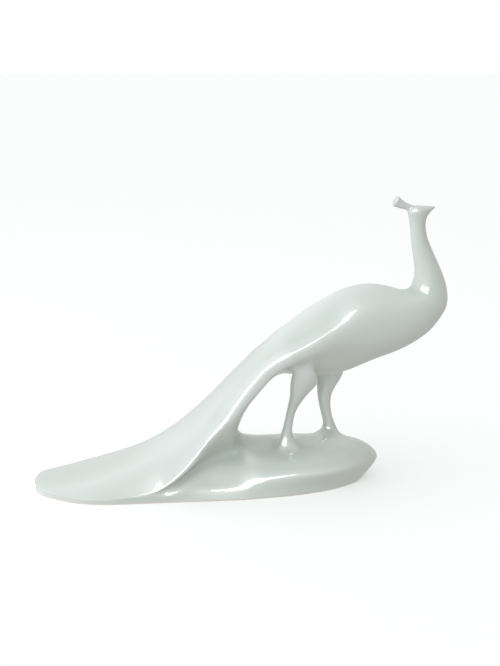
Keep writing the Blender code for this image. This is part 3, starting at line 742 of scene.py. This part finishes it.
def glazed_porcelain(finish):
    """Thick clear glaze over white porcelain: greener where it pools and whiter where it runs
    thin, with painted shade that darkens the hollows and warms the sides that face down, a dark
    speck here and there and bare, matt porcelain on the foot ring."""
    shading = Shading(bpy.data.materials.new("glazed_porcelain"), "Principled BSDF")
    places = shading.node("ShaderNodeTexCoord").outputs["Object"]
    glaze = shading.attribute("glaze")
    upward = shading.attribute("upward")
    height = shading.number("ShaderNodeSeparateXYZ", {}, {"Vector": places}, "Z")

    drift = shading.noise(places, DRIFT_CELLS, DRIFT_DETAIL) - 0.5
    # Glaze pooled in hollows, greener and darker; this is also painted shade in the hollows
    pooled = (glaze + drift * DRIFT_IN_THICKNESS).clamped()
    colour = shading.mixed(pooled, finish.thin_glaze, finish.pooled_glaze_and_shade)
    # Painted shade: the sides that face down take the warmer, darker shaded colour
    lit = (upward + drift * DRIFT_IN_SHADE).clamped()
    colour = shading.mixed(lit, finish.painted_shade_glaze, colour)
    speckle = shading.noise(places, SPECKLE_CELLS).ramp(*SPECKLE_RANGE) * SPECKLE_STRENGTH
    colour = shading.mixed(speckle, colour, finish.speck)
    for centre in SPECKS:
        speck = shading.near(places, centre, SPECK_RADIUS) * SPECK_STRENGTH
        colour = shading.mixed(speck, colour, finish.speck)
    bare = within(height, FOOT_RING_GLAZE_LINE)
    colour = shading.mixed(bare, colour, finish.bare_porcelain)

    coarse, fine = (shading.noise(places, cells) * share for cells, share in SWELLS)
    bump = shading.node("ShaderNodeBump", {}, {
        "Strength": SWELL_STRENGTH, "Distance": SWELL_HEIGHT, "Height": coarse + fine})
    shading.set(shading.shader, {
        "Base Color": colour,
        "Roughness": bare * (BARE_ROUGHNESS - BODY_ROUGHNESS) + BODY_ROUGHNESS,
        "Coat Weight": 1.0 - bare,
        "Coat Roughness": finish.gloss_roughness,
        "Coat IOR": GLAZE_IOR,
        "Subsurface Weight": TRANSLUCENCY,
        "Subsurface Scale": TRANSLUCENT_DEPTH,
        "Subsurface Radius": TRANSLUCENT_REACH,
        "Normal": bump.outputs["Normal"],
    })
    return shading.owner


def plain_paper():
    shading = Shading(bpy.data.materials.new("white_paper"), "Principled BSDF")
    places = shading.node("ShaderNodeTexCoord").outputs["Object"]
    grain = shading.noise(places, PAPER_GRAIN, 2.0)
    paler = tuple(channel * PAPER_MOTTLE for channel in PAPER)
    shading.set(shading.shader, {
        "Base Color": shading.mixed(grain, PAPER, paler),
        "Roughness": PAPER_ROUGHNESS,
        "Emission Color": (1.0, 1.0, 1.0, 1.0),
        "Emission Strength": PAPER_GLOW,
    })
    return shading.owner


def smooth_mesh(cage, levels, name):
    """Plain mesh of the cage after so many subdivisions, which keep its creases."""
    data = bpy.data.meshes.new(name)
    cage.to_mesh(data)
    carrier = bpy.data.objects.new(name, data)
    bpy.context.collection.objects.link(carrier)
    smooth = carrier.modifiers.new("smooth", "SUBSURF")
    smooth.levels = levels
    smooth.render_levels = levels
    evaluated = carrier.evaluated_get(bpy.context.evaluated_depsgraph_get())
    finished = bpy.data.meshes.new_from_object(evaluated)
    bpy.data.objects.remove(carrier)
    bpy.data.meshes.remove(data)
    finished.name = name
    return finished


def read_rows(things, name, width, kind=float):
    """Array of a property of a mesh's vertices or edges, with a row for each of them."""
    rows = np.empty(len(things) * width, kind)
    things.foreach_get(name, rows)
    return rows.reshape(-1, width)


def averaged(values, edges, passes):
    """Values at the vertices, each pass averaged with those of their neighbours."""
    count = len(values)
    links = np.bincount(edges.ravel(), minlength=count)
    for _ in range(passes):
        total = np.bincount(edges[:, 0], values[edges[:, 1]], count)
        total += np.bincount(edges[:, 1], values[edges[:, 0]], count)
        values = 0.5 * values + 0.5 * total / links
    return values


def keep_glaze(data):
    """Writes two attributes: how thick the glaze lies, from 0 on a sharp edge to 1 in a hollow,
    which also sets painted shade in hollows, and how far the surface faces up, which sets the
    painted shade of the sides that face down."""
    places = read_rows(data.vertices, "co", 3)
    normals = read_rows(data.vertices, "normal", 3)
    edges = read_rows(data.edges, "vertices", 2, int)
    sunk = np.zeros(len(places))
    for passes, depth in HOLLOWS:
        smoothed = np.stack([averaged(places[:, axis], edges, passes) for axis in range(3)], axis=1)
        sunk += np.clip(((smoothed - places) * normals).sum(axis=1) / depth, -1, 1) / 2
    glaze = 0.5 + 0.5 * np.clip(averaged(sunk, edges, GLAZE_PASSES), -1, 1)
    upward = averaged(0.5 + 0.5 * normals[:, 2], edges, UPWARD_PASSES)
    for name, values in (("glaze", glaze), ("upward", upward)):
        attribute = data.attributes.new(name, "FLOAT", "POINT")
        attribute.data.foreach_set("value", values.astype(np.float32))


class PeacockShape(bpy.types.PropertyGroup):
    rim_thickness: FloatProperty(
        name="Rim thickness", description="Thickness of the train's rolled rim",
        default=0.0070, unit="LENGTH")
    shank_diameter: FloatProperty(
        name="Shank", description="Thickness of a leg below the knee",
        default=0.0060, unit="LENGTH")
    leg_spacing: FloatProperty(
        name="Leg spacing", description="Distance between the legs, across the bird",
        default=0.0195, unit="LENGTH")
    foot_ring_width: FloatProperty(
        name="Foot ring", description="Width of the ring that the figurine stands on",
        default=0.0060, unit="LENGTH")
    recess_depth: FloatProperty(
        name="Recess", description="Depth of the underside inside the foot ring",
        default=0.0015, unit="LENGTH")
    levels: IntProperty(
        name="Smoothness", description="How often the surface is subdivided",
        default=3, min=1, max=3)


class PeacockFinish(bpy.types.PropertyGroup):
    thin_glaze: FloatVectorProperty(
        name="Thin glaze", description="Colour on edges, where the glaze has run thin",
        default=rgb(238, 242, 239), subtype="COLOR", min=0, max=1)
    # Pooled glaze in the hollows, which also serves as painted shade there
    pooled_glaze_and_shade: FloatVectorProperty(
        name="Pooled glaze", description="Colour in hollows, where the glaze has pooled",
        default=rgb(196, 208, 198), subtype="COLOR", min=0, max=1)
    # Painted shade for the sides that face down
    painted_shade_glaze: FloatVectorProperty(
        name="Shaded glaze", description="Warmer colour of the sides that face down",
        default=rgb(196, 200, 188), subtype="COLOR", min=0, max=1)
    bare_porcelain: FloatVectorProperty(
        name="Bare porcelain", description="Colour of the foot ring, which has no glaze",
        default=rgb(222, 214, 200), subtype="COLOR", min=0, max=1)
    speck: FloatVectorProperty(
        name="Specks", description="Colour of the iron specks in the glaze",
        default=rgb(70, 68, 60), subtype="COLOR", min=0, max=1)
    gloss_roughness: FloatProperty(
        name="Gloss roughness", description="Roughness of the glaze's own shine",
        default=0.035, min=0, max=1, subtype="FACTOR")


class PeacockStudio(bpy.types.PropertyGroup):
    camera_distance: FloatProperty(
        name="Camera distance", description="From the camera to the point that it looks at",
        default=0.750, unit="LENGTH")
    camera_turn: FloatProperty(
        name="Camera turn", description="Camera's direction from the figurine's near side",
        default=radians(-6), unit="ROTATION")
    camera_elevation: FloatProperty(
        name="Camera elevation", description="Angle by which the camera looks down",
        default=radians(13), unit="ROTATION")
    lens: FloatProperty(
        name="Lens", description="Focal length, in millimetres", default=61.7)
    aim: FloatVectorProperty(
        name="Aim", description="Point that the camera looks at",
        default=(0.0060, 0.0, 0.1013), subtype="TRANSLATION", unit="LENGTH")
    window_power: FloatProperty(
        name="Window", description="Power of the window-like light, in watts", default=31.0)
    side_power: FloatProperty(
        name="Side light", description="Power of the soft light by the tail, in watts", default=5.0)
    light_right: FloatVectorProperty(
        name="Right", description="Soft light from the bird's front",
        default=(0.43, 0.41, 0.37), subtype="COLOR", soft_max=2)
    light_left: FloatVectorProperty(
        name="Left", description="Soft light from the tail's side",
        default=(1.02, 1.05, 1.11), subtype="COLOR", soft_max=2)
    light_back: FloatVectorProperty(
        name="Back", description="Soft light from the side that is seen least",
        default=(0.72, 0.73, 0.72), subtype="COLOR", soft_max=2)
    light_front: FloatVectorProperty(
        name="Front", description="Soft light from the side that is seen most",
        default=(0.86, 0.90, 0.94), subtype="COLOR", soft_max=2)
    light_above: FloatVectorProperty(
        name="Above", description="Soft light from the ceiling",
        default=(0.82, 0.86, 0.84), subtype="COLOR", soft_max=2)
    light_below: FloatVectorProperty(
        name="Below", description="Light that comes back from the floor",
        default=(0.58, 0.57, 0.56), subtype="COLOR", soft_max=2)


def direction(turn, elevation):
    """Unit vector towards a place seen at these angles; turn 0 is the near side."""
    return Vector((sin(turn) * cos(elevation), -cos(turn) * cos(elevation), sin(elevation)))


def look_at(thing, target):
    thing.rotation_euler = (target - thing.location).to_track_quat("-Z", "Y").to_euler()


def softbox(name, target, power, turn, elevation, distance, size):
    """Rectangular area light that looks at target."""
    lamp = bpy.data.lights.new(name, "AREA")
    lamp.shape = "RECTANGLE"
    lamp.size, lamp.size_y = size
    lamp.energy = power
    light = bpy.data.objects.new(name, lamp)
    light.location = target + direction(radians(turn), radians(elevation)) * distance
    look_at(light, target)
    bpy.context.collection.objects.link(light)
    return light


class PEACOCK_OT_add_figurine(bpy.types.Operator):
    """Make the porcelain peacock in place of the frame's plain one"""
    bl_idname = "peacock.add_figurine"
    bl_label = "Add Figurine"

    def execute(self, context):
        shape = context.scene.peacock_shape
        cage = FigurineCage(SIZE.x, SIZE.y, SIZE.z, shape.rim_thickness, shape.shank_diameter,
                            shape.leg_spacing, shape.foot_ring_width, shape.recess_depth)
        mesh = cage.build()
        cage.fit(FIT_PASSES)
        data = smooth_mesh(mesh, shape.levels, "porcelain_peacock")
        mesh.free()
        places = read_rows(data.vertices, "co", 3)
        middle = Vector((places.min(axis=0) + places.max(axis=0)) / 2)
        offset = (BOX_LOW + BOX_HIGH) / 2 - middle
        data.transform(Matrix.Translation((offset.x, offset.y, 0)))
        data.shade_smooth()
        keep_glaze(data)
        data.materials.append(glazed_porcelain(context.scene.peacock_finish))
        figurine = bpy.data.objects.new("porcelain_peacock", data)
        context.collection.objects.link(figurine)
        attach(figurine, "root")
        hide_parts(NODE)
        return {"FINISHED"}


class PEACOCK_OT_add_stage(bpy.types.Operator):
    """Add the pale floor, the soft lights and the camera"""
    bl_idname = "peacock.add_stage"
    bl_label = "Add Stage"

    def execute(self, context):
        studio = context.scene.peacock_studio
        self.add_floor(context)
        self.add_camera(context, studio)
        centre = Vector((0, 0, SIZE.z / 2))
        window = softbox("window", centre, studio.window_power, **WINDOW)
        window.visible_diffuse = False
        side = softbox("side", centre, studio.side_power, **SIDE_LIGHT)
        side.visible_glossy = False
        context.scene.world = self.surround(studio)
        context.scene.view_settings.view_transform = "Standard"
        return {"FINISHED"}

    def surround(self, studio):
        """Soft light of its own colour from each of six sides; the camera sees plain white."""
        shading = Shading(bpy.data.worlds.new("surround"), "Background")
        towards = shading.node("ShaderNodeTexCoord").outputs["Generated"]
        sides = ((studio.light_left, studio.light_right), (studio.light_front, studio.light_back),
                 (studio.light_below, studio.light_above))
        light = (0.0, 0.0, 0.0)
        for axis, (one, two) in zip("XYZ", sides):
            along = shading.number("ShaderNodeSeparateXYZ", {}, {"Vector": towards}, axis)
            colour = shading.mixed(along.math("GREATER_THAN", along, 0.0), one, two)
            light = shading.added(light, colour, along * along)
        seen = shading.number("ShaderNodeLightPath", output="Is Camera Ray")
        shading.set(shading.shader, {"Color": shading.mixed(seen, light, (1.0, 1.0, 1.0))})
        return shading.owner

    def add_floor(self, context):
        mesh = bmesh.new()
        bmesh.ops.create_grid(mesh, x_segments=2, y_segments=2, size=FLOOR_REACH)
        data = bpy.data.meshes.new("floor")
        mesh.to_mesh(data)
        mesh.free()
        data.materials.append(plain_paper())
        floor = bpy.data.objects.new("floor", data)
        context.collection.objects.link(floor)
        floor.visible_diffuse = False
        floor.visible_glossy = False

    def add_camera(self, context, studio):
        lens = bpy.data.cameras.new("camera")
        lens.lens = studio.lens
        lens.sensor_width = SENSOR_WIDTH
        camera = bpy.data.objects.new("camera", lens)
        aim = Vector(studio.aim)
        towards = direction(studio.camera_turn, studio.camera_elevation)
        camera.location = aim + towards * studio.camera_distance
        look_at(camera, aim)
        context.collection.objects.link(camera)
        context.scene.camera = camera


class PEACOCK_PT_sidebar(bpy.types.Panel):
    bl_idname = "PEACOCK_PT_sidebar"
    bl_label = "Peacock Figurine"
    bl_space_type = "VIEW_3D"
    bl_region_type = "UI"
    bl_category = "Peacock"

    def draw(self, context):
        for title, settings, operator in (("Shape", "peacock_shape", None),
                                          ("Finish", "peacock_finish", "peacock.add_figurine"),
                                          ("Studio", "peacock_studio", "peacock.add_stage")):
            box = self.layout.box()
            box.label(text=title)
            group = getattr(context.scene, settings)
            for name in group.__annotations__:
                box.prop(group, name)
            if operator:
                box.operator(operator)


CLASSES = (PeacockShape, PeacockFinish, PeacockStudio, PEACOCK_OT_add_figurine,
           PEACOCK_OT_add_stage, PEACOCK_PT_sidebar)
SETTINGS = {"peacock_shape": PeacockShape, "peacock_finish": PeacockFinish,
            "peacock_studio": PeacockStudio}


def register():
    for kind in CLASSES:
        bpy.utils.register_class(kind)
    for name, group in SETTINGS.items():
        setattr(bpy.types.Scene, name, PointerProperty(type=group))


def unregister():
    for name in SETTINGS:
        delattr(bpy.types.Scene, name)
    for kind in reversed(CLASSES):
        bpy.utils.unregister_class(kind)


def main():
    register()
    bpy.ops.peacock.add_figurine()
    bpy.ops.peacock.add_stage()


if __name__ == "__main__":
    main()
